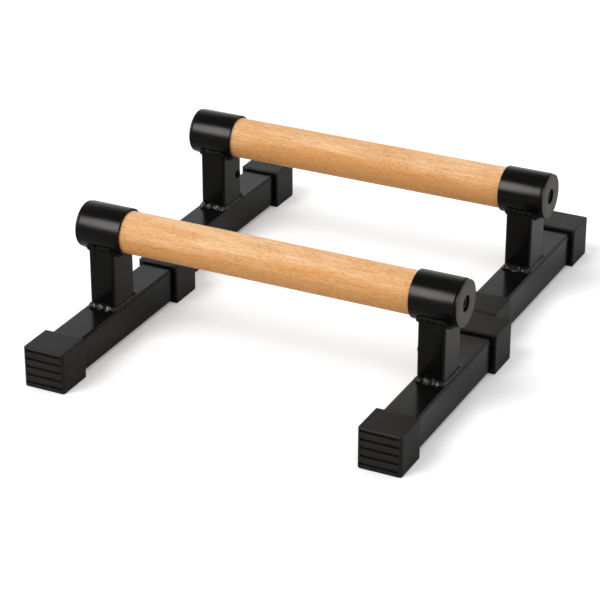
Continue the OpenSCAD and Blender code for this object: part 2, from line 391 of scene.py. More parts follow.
# %% [markdown]
# The steel is powder coated in satin black. The powder melts into a skin with a faint orange peel, a soft
# ripple that breaks up the reflections. Edges carry a thinner coat, so they are a little smoother and
# greyer, and a trace of dust dulls what faces up. The beads under the sleeves take a darker, duller copy
# of the weld paint, as painted shade from the tube above.
# An end cap is satin round its rim, and its face is matt. The face also gets a lighter, warmer colour as
# painted light from the side, and a mask finds that face by its distance from the middle of the bar.

# %% Powder coat
BLACK = (0.0034, 0.0033, 0.0032, 1)
WELD_BLACK = (0.004, 0.0039, 0.0037, 1)
GREY_DUST = (0.20, 0.19, 0.18, 1)
DUST_SHARE = 0.012
MATT_AND_PAINTED_LIGHT_FROM, MATT_AND_PAINTED_LIGHT_FULL = CAP_FACE - 0.65, CAP_FACE - 0.4


def end_face(finish):
    """A mask that is 1 on the end caps' faces. What lies behind Y = 0 is on the rear bar."""
    place = finish.parts(finish.object_place())
    middle = finish.span(place["Y"], BARS["front"].translation.x, BARS["rear"].translation.x, -MM, MM)
    out = finish.math("ABSOLUTE", finish.minus(place["X"], middle))
    return finish.span(out, 0.0, 1.0, MATT_AND_PAINTED_LIGHT_FROM * MM, MATT_AND_PAINTED_LIGHT_FULL * MM)


def powder_coat(name, base, edge, rough, peel=0.00003, peel_scale=420.0, ior=1.20, face=None):
    """Face, where it is given, is a lighter, warmer colour painted on an end cap's face as painted light from
    the side, and how much rougher that face is.
    """
    finish = Finish(name, IOR=ior, Specular_Tint=WARM_GLINT)
    wear = finish.effect("worn edges", Width=0.0007, Patch_Scale=120.0)
    dusty = finish.effect("settled dust", Cloud_Scale=35.0)
    colour = finish.blend(finish.noise(22.0, detail=5.0, roughness=0.6), shade(base, 0.75), base)
    colour = finish.tint(wear, 0.5, colour, edge)
    colour = finish.tint(dusty, DUST_SHARE, colour, GREY_DUST)
    smear = finish.span(finish.noise(60.0, detail=4.0), rough - 0.05, rough + 0.07)
    shine = finish.minus(smear, finish.times(wear, 0.06))
    shine = finish.plus(shine, finish.times(dusty, DUST_SHARE))
    # Painted light: the end cap's face gets a lighter, warmer colour for the light that falls on it from the
    # side, and is also rougher.
    if face:
        painted_light_face_colour, rougher = face
        on_face = end_face(finish)
        colour = finish.blend(on_face, colour, painted_light_face_colour)
        shine = finish.plus(shine, finish.times(on_face, rougher))
    finish.drive(Base_Color=colour, Roughness=shine)
    finish.bump(finish.effect("fine grain", Grain_Scale=peel_scale, Fineness=0.35), peel)
    return finish.material


FINISHES["black_paint"] = powder_coat("satin powder coat", BLACK, (0.03, 0.03, 0.029, 1), 0.19)
FINISHES["weld_paint"] = powder_coat("powder coat on weld", WELD_BLACK, (0.05, 0.05, 0.048, 1), 0.30,
                                     peel=0.00014, peel_scale=600.0, ior=1.37)
# Painted shade: a darker, duller copy of the weld paint for the beads that lie in the sleeve's shade.
FINISHES["thin_weld_paint"] = powder_coat("thin coat under the sleeve", WELD_BLACK, (0.02, 0.02, 0.019, 1),
                                          0.45, peel=0.00014, peel_scale=600.0, ior=1.13)
# The end cap's face colour is painted light: a lighter, warmer grey for the light from the side.
FINISHES["cap_paint"] = powder_coat("powder coat on end cap", BLACK, (0.040, 0.0375, 0.035, 1), 0.36,
                                    peel_scale=600.0, ior=1.17, face=((0.090, 0.079, 0.071, 1), 0.08))
print("paints:", ", ".join(FINISHES))

# %% [markdown]
# The foot covers are moulded rubber: matt, with a fine texture from the mould and a greyish bloom. Their
# edges are rubbed a little lighter. The plug in the vent hole is a smoother, blacker and cleaner rubber.

# %% Rubber
def rubber(name, base, rubbed, rough, texture, dust, ior):
    finish = Finish(name, IOR=ior, Specular_Tint=WARM_GLINT)
    wear = finish.effect("worn edges", Width=0.0009, Patch_Scale=200.0)
    dusty = finish.effect("settled dust", Cloud_Scale=70.0)
    bloom = finish.noise(30.0, detail=6.0, roughness=0.65)
    specks = finish.noise(1500.0, detail=2.0)
    pale = shade(base, 1.7)
    colour = finish.blend(finish.span(bloom, 0.0, 0.6, 0.35, 0.75), base, pale)
    colour = finish.blend(finish.span(specks, 0.0, 0.35, 0.55, 0.75), colour, pale)
    colour = finish.tint(wear, 0.6, colour, rubbed)
    colour = finish.tint(dusty, dust, colour, (0.16, 0.155, 0.15, 1))
    shine = finish.span(specks, rough - 0.08, rough + 0.12, 0.3, 0.7)
    finish.drive(Base_Color=colour, Roughness=shine)
    finish.bump(finish.effect("fine grain", Grain_Scale=1100.0, Fineness=0.7), texture)
    return finish.material


FINISHES["foot_rubber"] = rubber("moulded rubber", (0.0022, 0.0022, 0.0021, 1), (0.030, 0.029, 0.028, 1),
                                 rough=0.50, texture=0.00016, dust=0.022, ior=1.29)
FINISHES["plug_rubber"] = rubber("smooth rubber", (0.0012, 0.0012, 0.0012, 1), (0.003, 0.003, 0.003, 1),
                                 rough=0.42, texture=0.00005, dust=0.003, ior=1.09)
print(len(FINISHES), "finishes with the rubbers")

# %% [markdown]
# Beech is a pale, even wood. Seen close it has long soft streaks along the grain, fine reddish fibres,
# faint growth bands, and the short dark flecks of its rays. The log's rings run through the dowel as flat
# bands, and aren't wrapped round it. The underside is painted a warmer, darker brown than the top as
# painted shade, so the colour follows the height too, and the streaks break up that change.

# %% Beech
PALE_WOOD = (0.900, 0.582, 0.325, 1)
WARM_WOOD = (0.745, 0.368, 0.131, 1)
RUSTY_WOOD = (0.62, 0.270, 0.080, 1)
BROWN_WOOD = (0.47, 0.185, 0.050, 1)
RING_TILT = (6.0, 150.0, 240.0)


def beech():
    finish = Finish("oiled beech", IOR=1.20)
    streaks = finish.noise(1.0, detail=4.0, roughness=0.6, stretch=(7, 95, 95))
    fibres = finish.noise(1.0, roughness=0.6, stretch=(45, 900, 900))
    flecks = finish.noise(1.0, detail=2.0, roughness=0.55, stretch=(230, 1300, 1300))
    patches = finish.noise(1.0, roughness=0.55, stretch=(16, 60, 60))
    wander = finish.noise(1.0, detail=2.0, stretch=(5, 22, 22))

    place = finish.object_place()
    rings = finish.plus(finish.dot(place, RING_TILT), finish.times(wander, 5.0))
    rings = finish.math("PINGPONG", rings, 0.5)
    height = finish.parts(place)["Z"]
    # Painted shade: the colour turns a warmer, darker brown toward the dowel's underside.
    underside_shade = finish.span(height, 1.0, -1.0, (AXIS_Z - HANDLE_R) * MM, (AXIS_Z + HANDLE_R) * MM)
    underside_shade = finish.plus(underside_shade, finish.span(streaks, -0.6, 0.6, 0.3, 0.7))

    colour = finish.blend(finish.span(patches, 0.0, 0.55, 0.44, 0.68), PALE_WOOD, WARM_WOOD)
    # Painted shade: the underside takes the warm, darker wood colour.
    colour = finish.blend(finish.span(underside_shade, 0.0, 1.0, -0.90, -0.05), colour, WARM_WOOD)
    colour = finish.blend(finish.span(rings, 0.0, 0.15, 0.10, 0.5), colour, WARM_WOOD)
    colour = finish.blend(finish.span(fibres, 0.0, 0.45, 0.46, 0.66), colour, RUSTY_WOOD)
    thick = finish.span(patches, 0.34, 0.75, 0.35, 0.60)
    dark = finish.times(finish.span(flecks, 0.0, 1.0, 0.52, 0.68), thick)
    colour = finish.blend(dark, colour, BROWN_WOOD)
    finish.drive(Base_Color=colour, Roughness=finish.span(fibres, 0.42, 0.62, 0.3, 0.7))
    pores = finish.minus(finish.times(fibres, 0.4), finish.times(flecks, 0.6))
    finish.bump(pores, 0.00005)
    return finish.material


FINISHES["beech_wood"] = beech()
print("wood:", FINISHES["beech_wood"].name)

# %% [markdown]
# The screws, washers and inserts are blackened steel: nearly black oxide over metal, with brighter edges
# where a hexagon key has rubbed, and faint turning marks round the axis.

# %% Blackened steel
def blackened_steel():
    finish = Finish("blackened steel", IOR=1.3)
    wear = finish.effect("worn edges", Width=0.0005, Patch_Scale=300.0)
    stain = finish.noise(160.0, detail=5.0)
    marks = finish.noise(1.0, detail=2.0, stretch=(6000, 500, 500))
    colour = finish.blend(stain, (0.010, 0.010, 0.011, 1), (0.028, 0.027, 0.026, 1))
    colour = finish.tint(wear, 0.6, colour, (0.20, 0.19, 0.18, 1))
    finish.drive(Base_Color=colour, Metallic=finish.span(stain, 0.55, 0.9, 0.3, 0.7),
                 Roughness=finish.span(marks, 0.28, 0.45, 0.3, 0.7))
    finish.bump(marks, 0.00002)
    return finish.material


FINISHES["fastener_steel"] = blackened_steel()
print("finishes:", ", ".join(sorted(FINISHES)))

# %% [markdown]
# ## Turned pieces
# Sleeve, handle, end cap and plug are all round about one axis, so one tree makes them: it carries a flat
# outline round a circle.

# %% The tree that carries an outline round an axis
PATH_RADIUS = 1.0
turning = Tree("turn an outline round an axis", ["Path Radius"], counts=["Steps Round"])
outline = turning.add("GeometryNodeMeshToCurve", Mesh=turning.given["Shape"])
ring = turning.add("GeometryNodeCurvePrimitiveCircle", Resolution=turning.given["Steps Round"],
                   Radius=turning.given["Path Radius"])
skin = turning.add("GeometryNodeCurveToMesh", Curve=ring, Profile_Curve=outline)
turning.end(turning.add("GeometryNodeMergeByDistance", Geometry=skin, Distance=0.0005))
print("turning tree:", len(turning.tree.nodes), "nodes")

# %% [markdown]
# A turned piece is then given by the corners of its outline alone: a radius, a place along the axis, and how
# far the corner is eased as on the real piece, because a perfectly sharp edge catches no light.

# %% From corners to a turned piece
def eased(corners, steps=4):
    """A closed outline through (radius, along, ease) corners, each rounded by its own ease."""
    points = []
    for i, (x, y, ease) in enumerate(corners):
        here = Vector((x, y))
        before = Vector(corners[i - 1][:2]) - here
        after = Vector(corners[(i + 1) % len(corners)][:2]) - here
        if ease == 0:
            points.append(here)
            continue
        start = here + before.normalized() * ease
        stop = here + after.normalized() * ease
        for k in range(steps + 1):
            t = k / steps
            points.append(start * (1 - t) ** 2 + here * 2 * t * (1 - t) + stop * t * t)
    return points


def turned(name, corners, finish, steps_round=128):
    """A mesh turned about Z from (radius, along, ease) corners."""
    points = [(p.x - PATH_RADIUS, -p.y, 0) for p in eased(corners)]
    mesh = turning.run(closed_loop(name + " outline", points), name, Path_Radius=PATH_RADIUS,
                       Steps_Round=steps_round, Material=FINISHES[finish])
    print(f"{name}: {len(mesh.vertices)} points round the axis")
    return mesh


def on_axis(side):
    """Turns what is built along +Z onto the handle's axis, pointing to the given end."""
    return Matrix.Translation((0, 0, AXIS_Z)) @ Matrix.Rotation(side * math.pi / 2, 4, "Y")


def settle_at_ends(mesh, part, form):
    """Puts a turned mesh at both ends of both handles."""
    for stand, side in STANDS.items():
        settle(mesh, f"{stand}_{part}", form, on_axis(side))


# %% [markdown]
# The handle is a 38 mm dowel. Only the part between the sleeves shows, but it runs on into them and is
# drilled at both ends: a wide hole for the threaded insert, and a narrower one behind it for the screw.

# %% Handle
SCREW_HOLE_R, INSERT_HOLE_R = 4.2, 6.05
SCREW_HOLE_IN, INSERT_IN = HANDLE_END - 30.0, HANDLE_END - 20.0
half_outline = [
    (0, SCREW_HOLE_IN, 0), (SCREW_HOLE_R, SCREW_HOLE_IN, 0), (SCREW_HOLE_R, INSERT_IN, 0),
    (INSERT_HOLE_R, INSERT_IN, 0), (INSERT_HOLE_R, HANDLE_END, 0.2), (HANDLE_R, HANDLE_END, 1.0),
]
handle_corners = half_outline + [(r, -along, ease) for r, along, ease in reversed(half_outline)]
handle_mesh = turned("handle", handle_corners[::-1], "beech_wood", steps_round=160)
for bar in BARS:
    settle(handle_mesh, f"{bar}_handle", "dowel", on_axis(RIGHT))

# %% [markdown]
# Each sleeve is a short steel tube that holds the dowel's end. The saw cut was deburred before painting,
# so both rims are softly rounded, and the paint pulls back a little there.

# %% Sleeves
SLEEVE_BORE_R = 19.2
sleeve_corners = [(SLEEVE_BORE_R, SLEEVE_IN, 0.5), (SLEEVE_R, SLEEVE_IN, 0.7), (SLEEVE_R, SLEEVE_OUT, 0.6),
                  (SLEEVE_BORE_R, SLEEVE_OUT, 0.4)]
sleeve_mesh = turned("sleeve", sleeve_corners, "black_paint")
settle_at_ends(sleeve_mesh, "sleeve", "tube")

# %% [markdown]
# The end cap is a turned plug. Its flange stands off the sleeve on a narrow neck, which leaves the dark
# seam that shows in the photograph. Its face has a fine ring near the rim and a deep round hole for the
# screw's head, which rests on a seat near the dowel.

# %% End caps
SPIGOT_R, NECK_R, SEAM = 19.1, 19.6, 0.6
RING_OUT, RING_IN, RING_FLOOR = 19.0, 18.6, CAP_FACE - 0.3
RING_SLOPE = 0.05
HEAD_HOLE_R, HEAD_SEAT = 7.1, HANDLE_END + 3.0
FLANGE_IN = SLEEVE_OUT + SEAM
cap_corners = [
    (SCREW_HOLE_R, HANDLE_END, 0.1), (SPIGOT_R, HANDLE_END, 0.4), (SPIGOT_R, SLEEVE_OUT, 0),
    (NECK_R, SLEEVE_OUT, 0), (NECK_R, FLANGE_IN, 0.15), (FLANGE_R, FLANGE_IN, 0.25),
    (FLANGE_R, CAP_FACE, 0.5), (RING_OUT + RING_SLOPE, CAP_FACE, 0.1), (RING_OUT, RING_FLOOR, 0.08),
    (RING_IN, RING_FLOOR, 0.08), (RING_IN - RING_SLOPE, CAP_FACE, 0.1), (HEAD_HOLE_R, CAP_FACE, 0.45),
    (HEAD_HOLE_R, HEAD_SEAT, 0.1), (SCREW_HOLE_R, HEAD_SEAT, 0.1),
]
cap_mesh = turned("end cap", cap_corners, "cap_paint")
settle_at_ends(cap_mesh, "end_cap", "plug")

# %% [markdown]
# One upright has a small hole that lets hot air out during coating. A rubber plug closes it: a stem that
# grips the tube's wall, and a low dome that hides the hole.

# %% Vent plug
STEM_R, STEM_LONG = 2.3, 3.0
DOME_HEIGHT, SUNK = 1.6, 0.2
plug_corners = [(0, -STEM_LONG, 0), (STEM_R, -STEM_LONG, 0.3), (STEM_R + 0.15, -SUNK, 0),
                (PLUG_R - 0.2, -SUNK, 0.1), (PLUG_R, 0.3, 0.25), (PLUG_R - 0.5, 1.0, 0.5),
                (PLUG_R / 2, DOME_HEIGHT - 0.1, 0.8), (0, DOME_HEIGHT, 0)]
plug_mesh = turned("vent plug", plug_corners, "plug_rubber", steps_round=48)
plug_turn = Matrix.Translation(VENT_PLACE) @ Matrix.Rotation(-math.pi / 2, 4, "Y")
for bar in BARS:
    settle(plug_mesh, f"{bar}_vent_plug", "dome", plug_turn)

# %% [markdown]
# ## Screws
# A socket head screw is round outside and six-sided inside, so turning alone can't make it. It is lofted:
# a skin is laid over a stack of rings, each a circle, a knurled circle or a hexagon of as many points.

# %% Rings and a skin over them
RING_POINTS = 96
ANGLES = [2 * math.pi * k / RING_POINTS for k in range(RING_POINTS)]


def level_ring(height, radii):
    """A ring of points round Z, each at its own radius."""
    return [(r * math.cos(angle), r * math.sin(angle), height) for r, angle in zip(radii, ANGLES)]


def circle_ring(radius, height, knurl=0.0):
    """Every second point is set in by the knurl's depth."""
    return level_ring(height, [radius - knurl * (k % 2) for k in range(RING_POINTS)])


def hexagon_ring(across_flats, height):
    """A point's radius follows from its angle to the middle of its flat."""
    from_middle = [angle % (math.pi / 3) - math.pi / 6 for angle in ANGLES]
    return level_ring(height, [across_flats / 2 / math.cos(angle) for angle in from_middle])


def loft(name, rings):
    """A closed skin over a stack of rings, with a centre point at either end."""
    points = [p for ring_points in rings for p in ring_points]
    n = len(rings[0])
    faces = []
    for row in range(len(rings) - 1):
        for k in range(n):
            a, b = row * n + k, row * n + (k + 1) % n
            faces.append((a, b, b + n, a + n))
    first, last = len(points), len(points) + 1
    points += [(0, 0, rings[0][0][2]), (0, 0, rings[-1][0][2])]
    top = (len(rings) - 1) * n
    for k in range(n):
        faces.append((first, (k + 1) % n, k))
        faces.append((last, top + k, top + (k + 1) % n))
    return raw_mesh(name, points, faces=faces)


# %% [markdown]
# The stack of rings runs up the shank, over the head and down into the socket.

# %% Loft the screw
SHANK_R, SHANK_LONG, TIP_SLOPE = 4.0, 30.0, 0.8
HEAD_R, HEAD_HEIGHT, KNURL_DEPTH = 6.5, 8.0, 0.16
SOCKET = 6.0
shank = [(SHANK_R - TIP_SLOPE, -SHANK_LONG), (SHANK_R, TIP_SLOPE - SHANK_LONG), (SHANK_R, 0)]
head = [(6.3, 0), (HEAD_R, 0.2), (HEAD_R, 1.0), (HEAD_R, 1.2, KNURL_DEPTH), (HEAD_R, 6.6, KNURL_DEPTH),
        (HEAD_R, 6.8), (6.45, 7.4), (6.2, 7.8), (5.8, HEAD_HEIGHT), (3.9, HEAD_HEIGHT), (3.6, 7.9)]
socket = [(SOCKET + 0.05, 7.6), (SOCKET, 7.3), (SOCKET, 4.3), (5.6, 4.0)]
screw_rings = [circle_ring(*row) for row in shank + head] + [hexagon_ring(*row) for row in socket]
screw_rings.append(circle_ring(1.2, 3.9))
screw_mesh = loft("socket head screw", screw_rings)
print("screw lofted from", len(screw_rings), "rings")

# %% [markdown]
# Both ends of a bar have the same screw, so a tree sets a copy at either end of a line along the axis and
# turns each one outward. The two are one piece, as they are one node in the frame.

# %% Set one screw at each end of the bar
both_ends = Tree("one at each end", ["Reach", "Height"])
given = both_ends.given
start = both_ends.vector(X=both_ends.times(given["Reach"], -1.0), Z=given["Height"])
stop = both_ends.vector(X=given["Reach"], Z=given["Height"])
two_points = both_ends.add("GeometryNodeMeshLine", settings={"mode": "END_POINTS"}, Count=2,
                           Start_Location=start, Offset=stop)
lean = both_ends.math("MULTIPLY_ADD", both_ends.add("GeometryNodeInputIndex"), math.pi, -math.pi / 2)
both_ends.end(both_ends.add("GeometryNodeInstanceOnPoints", Points=two_points, Instance=given["Shape"],
                            Rotation=both_ends.vector(Y=lean)))
screw_pair = both_ends.run(screw_mesh, "handle screws", Reach=SCREW_END - HEAD_HEIGHT, Height=AXIS_Z,
                           Material=FINISHES["fastener_steel"])
for bar in BARS:
    settle(screw_pair, f"{bar}_screws", "pair")
print("screws: one pair for each of", len(BARS), "bars")

# %% [markdown]
# ## Foot covers
# A foot cover is a rubber shoe pulled over the beam's end: a box with rounded edges, open at one side, with
# five grooves across its closed end, which lies at Y = 0. It is built from a grid over the box, whose lines
# lie close together where an edge or a groove needs it.

# %% Grid lines over a cover
GROOVE_LOW, GROOVE_PITCH, GROOVE_COUNT = 5.0, 7.5, 5
GROOVE_WIDTH, GROOVE_DEPTH, GROOVE_HALF = 2.2, 2.4, 18.2
GROOVE_EASE, GROOVE_RUN_OUT = 0.2, 0.8
NEAR_EDGE = (0, 0.45, 0.9, 1.3, 1.9, 2.5, 3.1)
LEAST_GAP = 0.6


def spread(low, high, extra=(), step=3.0):
    """Grid lines from low to high: close together near both ends and at the extra places."""
    lines = {round(v, 3) for d in NEAR_EDGE for v in (low + d, high - d)} | {round(v, 3) for v in extra}
    inner_low, inner_high = low + NEAR_EDGE[-1], high - NEAR_EDGE[-1]
    count = max(1, round((inner_high - inner_low) / step))
    for k in range(1, count):
        v = inner_low + (inner_high - inner_low) * k / count
        if min(abs(v - line) for line in lines) > LEAST_GAP:
            lines.add(round(v, 3))
    return sorted(lines)


around_groove = [sign * (GROOVE_WIDTH / 2 + d) for sign in (-1, 1) for d in (-GROOVE_EASE, 0, GROOVE_EASE)]
groove_middles = [GROOVE_LOW + i * GROOVE_PITCH for i in range(GROOVE_COUNT)]
groove_lines = [middle + d for middle in groove_middles for d in [0.0] + around_groove]
groove_ends = [sign * (GROOVE_HALF + d) for sign in (-1, 1) for d in (-0.4, 0.1)]
grid_x = spread(-WIDTH / 2, WIDTH / 2, groove_ends)
grid_y = spread(0.0, LENGTH, step=6.0)
grid_z = spread(0.0, HEIGHT, groove_lines)
print("cover grid:", len(grid_x), "by", len(grid_y), "by", len(grid_z), "lines")

# %% [markdown]
# Each point of the sharp grid moves onto the real form by a rule: the edges are rolled over, the upright
# corners of the closed end are wider arcs, and the hollow has corners of its own.

# %% Rules for the rounded form
EDGE, CORNER = 1.3, 3.0
CAVITY_HALF, CAVITY_CORNER = 16.1, 2.5


def clamp(v, low, high):
    return max(low, min(high, v))


def round_corner(a, b, half_a, half_b, corner):
    """Moves a point so that the corners of a rectangle round the origin become arcs."""
    u, v = (abs(a) - half_a) / corner + 1, (abs(b) - half_b) / corner + 1
    if u > 0 and v > 0:
        u, v = min(u, 1), min(v, 1)
        a = math.copysign(half_a + (u * math.sqrt(1 - v * v / 2) - 1) * corner, a)
        b = math.copysign(half_b + (v * math.sqrt(1 - u * u / 2) - 1) * corner, b)
    return a, b


def eased_box(x, y, z):
    """Moves a point of the sharp box onto the rounded one, whose closed end has wider corners."""
    qx = clamp(x, EDGE - WIDTH / 2, WIDTH / 2 - EDGE)
    qy = clamp(y, EDGE, LENGTH - EDGE)
    qz = clamp(z, EDGE, HEIGHT - EDGE)
    off = Vector((x - qx, y - qy, z - qz))
    if off.length > EDGE:
        off = off.normalized() * EDGE
    x, y = round_corner(qx + off.x, qy + off.y - LENGTH, WIDTH / 2, LENGTH, CORNER)
    return x, y + LENGTH, qz + off.z


def cavity_point(x, z, y, grow=0.0):
    """The grid's point carried onto the square hollow, which is wider by grow."""
    half = CAVITY_HALF + grow
    across, up = x / (WIDTH / 2) * half, (z / (HEIGHT / 2) - 1) * half
    across, up = round_corner(across, up, half, half, CAVITY_CORNER)
    return across, y, up + HEIGHT / 2


print("sharp corner moves to", [round(v, 2) for v in eased_box(WIDTH / 2, 0, HEIGHT)])

# %% [markdown]
# Row after row of points runs along the outside, round the lip of the open side and back along the hollow,
# and a band of faces joins each two rows. The closed end and the hollow's own end are then filled with the
# grid's squares.

# %% Build the cover's skin
END_WALL = 4.0
LIP_INSETS = (0.45, 0.9, 1.3)
MOUTH_ROWS = ((0.7, 0.0), (0.25, 0.15), (0.0, 0.7), (0.0, 12.0))


def cover_skin():
    points, faces, numbers = [], [], {}

    def point(key, place):
        """The number of a point, which is made when it is first asked for."""
        if key not in numbers:
            numbers[key] = len(points)
            points.append(place)
        return numbers[key]

    def outer(i, j, k):
        return point(("out", i, j, k), eased_box(grid_x[i], grid_y[j], grid_z[k]))

    def lip(inset, i, k):
        x = grid_x[i] * (1 - inset / (WIDTH / 2))
        z = HEIGHT / 2 + (grid_z[k] - HEIGHT / 2) * (1 - inset / (HEIGHT / 2))
        return point(("lip", inset, i, k), eased_box(x, LENGTH, z))

    def hollow(grow, y, i, k):
        return point(("hollow", grow, y, i, k), cavity_point(grid_x[i], grid_z[k], y, grow))

    nx, nz = len(grid_x) - 1, len(grid_z) - 1
    rim = ([(i, 0) for i in range(nx)] + [(nx, k) for k in range(nz)]
           + [(nx - i, nz) for i in range(nx)] + [(0, nz - k) for k in range(nz)])
    rows = [[outer(i, j, k) for i, k in rim] for j in range(len(grid_y))]
    rows += [[lip(inset, i, k) for i, k in rim] for inset in LIP_INSETS]
    mouth = [(grow, LENGTH - deep) for grow, deep in MOUTH_ROWS] + [(0.0, END_WALL)]
    rows += [[hollow(grow, y, i, k) for i, k in rim] for grow, y in mouth]
    for first, second in zip(rows, rows[1:]):
        for a in range(len(rim)):
            b = (a + 1) % len(rim)
            faces.append((first[b], first[a], second[a], second[b]))

    squares = [((i, k), (i + 1, k), (i + 1, k + 1), (i, k + 1)) for i in range(nx) for k in range(nz)]
    for corners in squares:
        faces.append([outer(i, 0, k) for i, k in corners])
        faces.append([hollow(0.0, END_WALL, i, k) for i, k in corners])
    return raw_mesh("foot cover skin", points, faces=faces)


cover_shape = cover_skin()
print("cover skin:", len(cover_shape.vertices), "points")

# %% [markdown]
# The grooves repeat at an even pitch, so a small tree presses them in. It folds the height into one pitch,
# and pushes the closed end's points inward where they are near a groove's middle, with soft shoulders.

# %% Press the grooves in with a tree
grooves = Tree("press grooves into the end", ["Low", "Pitch", "Width", "Depth", "Half Length"])
given = grooves.given
where = grooves.parts(grooves.add("GeometryNodeInputPosition"))
half_pitch = grooves.times(given["Pitch"], 0.5)
half_width = grooves.times(given["Width"], 0.5)
shifted = grooves.plus(grooves.minus(where["Z"], given["Low"]), half_pitch)
repeated = grooves.math("FLOORED_MODULO", shifted, given["Pitch"])
from_middle = grooves.math("ABSOLUTE", grooves.minus(repeated, half_pitch))
shoulder = grooves.plus(half_width, GROOVE_EASE)
floor_edge = grooves.minus(half_width, GROOVE_EASE)
across_groove = grooves.span(from_middle, 0.0, 1.0, shoulder, floor_edge, kind="SMOOTHSTEP")
run_out = grooves.minus(given["Half Length"], GROOVE_RUN_OUT)
from_side = grooves.math("ABSOLUTE", where["X"])
along_groove = grooves.span(from_side, 0.0, 1.0, given["Half Length"], run_out, kind="SMOOTHSTEP")
press = grooves.times(across_groove, along_groove, given["Depth"])
on_end = grooves.add("FunctionNodeCompare", settings={"data_type": "FLOAT", "operation": "LESS_THAN"},
                     i0=where["Y"], i1=0.05)
grooves.end(grooves.add("GeometryNodeSetPosition", Geometry=given["Shape"], Selection=on_end,
                        Offset=grooves.vector(Y=press)))
cover_mesh = grooves.run(cover_shape, "foot cover", Low=GROOVE_LOW, Pitch=GROOVE_PITCH, Width=GROOVE_WIDTH,
                         Depth=GROOVE_DEPTH, Half_Length=GROOVE_HALF, Material=FINISHES["foot_rubber"])
print("foot cover:", len(cover_mesh.polygons), "faces,", GROOVE_COUNT, "grooves")

# %% [markdown]
# A bar has four covers, one at each end of its two feet. The closed end always points away from the bar,
# so a cover at the back is turned by half a turn before it moves to its foot.

# %% Pull the covers over the feet
def cover_turn(side, end):
    """Moves the cover's closed end out to the foot's end."""
    half_turn = Matrix.Rotation(0 if end == FRONT else math.pi, 4, "Z")
    return Matrix.Translation((side * STAND_X, 0, 0)) @ half_turn @ Matrix.Translation((0, -COVER_END, 0))


for stand, side in STANDS.items():
    for end in (FRONT, BACK):
        node = f"{stand}_{seen(stand, end, ('near', 'far'))}_cover"
        settle(cover_mesh, node, "shoe", cover_turn(side, end))
print("covers:", 2 * len(STANDS))

# %% [markdown]
# ## Welds
# A hand-laid bead joins the upright to the beam under it, and another to the sleeve above. A bead is a row
# of overlapping lumps, one for each dip of the rod, and no two are the same. The tree follows a loop round
# the upright with a ring whose size rises and falls along the way, and then roughens the skin. For the
# upper bead it first lifts the loop to the underside of the round sleeve. A bead is full on the front and
# back of the upright, and thinner on its sides.

# %% The weld tree
PATH_STEP, BEAD_POINTS = 0.55, 20
SWAY_SCALE, SWAY_ALONG, SWAY_SWELL = 0.13, 5.0, 0.5
SIDE_BLEND, SKIN_SCALE = 1.6, 0.40
weld = Tree("lay a bead along a loop", ["Bead", "Side Share", "Pitch", "Lump", "Rough", "Sleeve Radius",
                                        "Sleeve Height", "Front", "Shift"])
given = weld.given
path = weld.add("GeometryNodeMeshToCurve", Mesh=given["Shape"])
path = weld.add("GeometryNodeResampleCurve", settings={"mode": "LENGTH"}, Curve=path, Length=PATH_STEP)
spot = weld.parts(weld.add("GeometryNodeInputPosition"))
y_squared = weld.times(spot["Y"], spot["Y"])
r_squared = weld.times(given["Sleeve Radius"], given["Sleeve Radius"])
drop = weld.math("SQRT", weld.math("MAXIMUM", weld.minus(r_squared, y_squared), 0.0))
saddle_z = weld.minus(given["Sleeve Height"], drop)
has_sleeve = weld.math("GREATER_THAN", given["Sleeve Radius"], 1.0)
path_z = weld.mix(has_sleeve, spot["Z"], saddle_z)
on_path = weld.vector(X=spot["X"], Y=spot["Y"], Z=path_z)
path = weld.add("GeometryNodeSetPosition", Geometry=path, Position=on_path)

travelled = weld.plus(weld.add("GeometryNodeSplineParameter", outlet="Length"), given["Shift"])
seed = weld.vector(X=weld.times(given["Shift"], 7.3))
sway = weld.add("ShaderNodeTexNoise", settings={"noise_dimensions": "4D"}, Vector=seed,
                W=weld.times(travelled, SWAY_SCALE), Scale=1.0, Detail=2.0)
uneven = weld.math("MULTIPLY_ADD", sway, SWAY_ALONG, travelled)
turns = weld.math("DIVIDE", weld.times(uneven, math.pi), given["Pitch"])
wave = weld.math("POWER", weld.math("ABSOLUTE", weld.math("SINE", turns)), 0.7)
near_front = weld.minus(given["Front"], SIDE_BLEND)
off_middle = weld.math("ABSOLUTE", spot["Y"])
toward_front = weld.span(off_middle, given["Side Share"], 1.0, near_front, given["Front"])
lumps = weld.times(weld.minus(wave, 0.6), given["Lump"], toward_front)
swell = weld.math("MULTIPLY_ADD", weld.minus(sway, 0.5), SWAY_SWELL, weld.plus(1.0, lumps))
swell = weld.times(swell, toward_front)
bead_ring = weld.add("GeometryNodeCurvePrimitiveCircle", Resolution=BEAD_POINTS, Radius=given["Bead"])
bead = weld.add("GeometryNodeCurveToMesh", Curve=path, Profile_Curve=bead_ring, Scale=swell)

place = weld.add("GeometryNodeInputPosition")
skin_noise = weld.add("ShaderNodeTexNoise", Vector=place, Scale=SKIN_SCALE, Detail=3.0)
push = weld.times(weld.minus(skin_noise, 0.5), given["Rough"], weld.plus(toward_front, 0.1))
along_normal = weld.add("ShaderNodeVectorMath", settings={"operation": "SCALE"},
                        i0=weld.add("GeometryNodeInputNormal"), Scale=push)
weld.end(weld.add("GeometryNodeSetPosition", Geometry=bead, Offset=along_normal))
print("weld tree:", len(weld.tree.nodes), "nodes")

# %% [markdown]
# Each upright gets a bead at its foot and a finer one under the sleeve. The shift moves a bead to another
# stretch of the noise, so that all eight differ, and they come out the same on every run.

# %% Lay the beads
UPRIGHT_CORNER, CORNER_STEPS = 2.5, 4
SHIFT_BY_STAND, SHIFT_OF_UPPER = 17.0, 5.0
FOOT_BEAD = {"Bead": 4.3, "Side_Share": 0.34, "Pitch": 7.9, "Lump": 0.42, "Rough": 3.4}
SLEEVE_BEAD = {"Bead": 2.4, "Side_Share": 0.8, "Pitch": 5.2, "Lump": 0.35, "Rough": 2.1,
               "Sleeve_Radius": SLEEVE_R, "Sleeve_Height": AXIS_Z - 0.8}


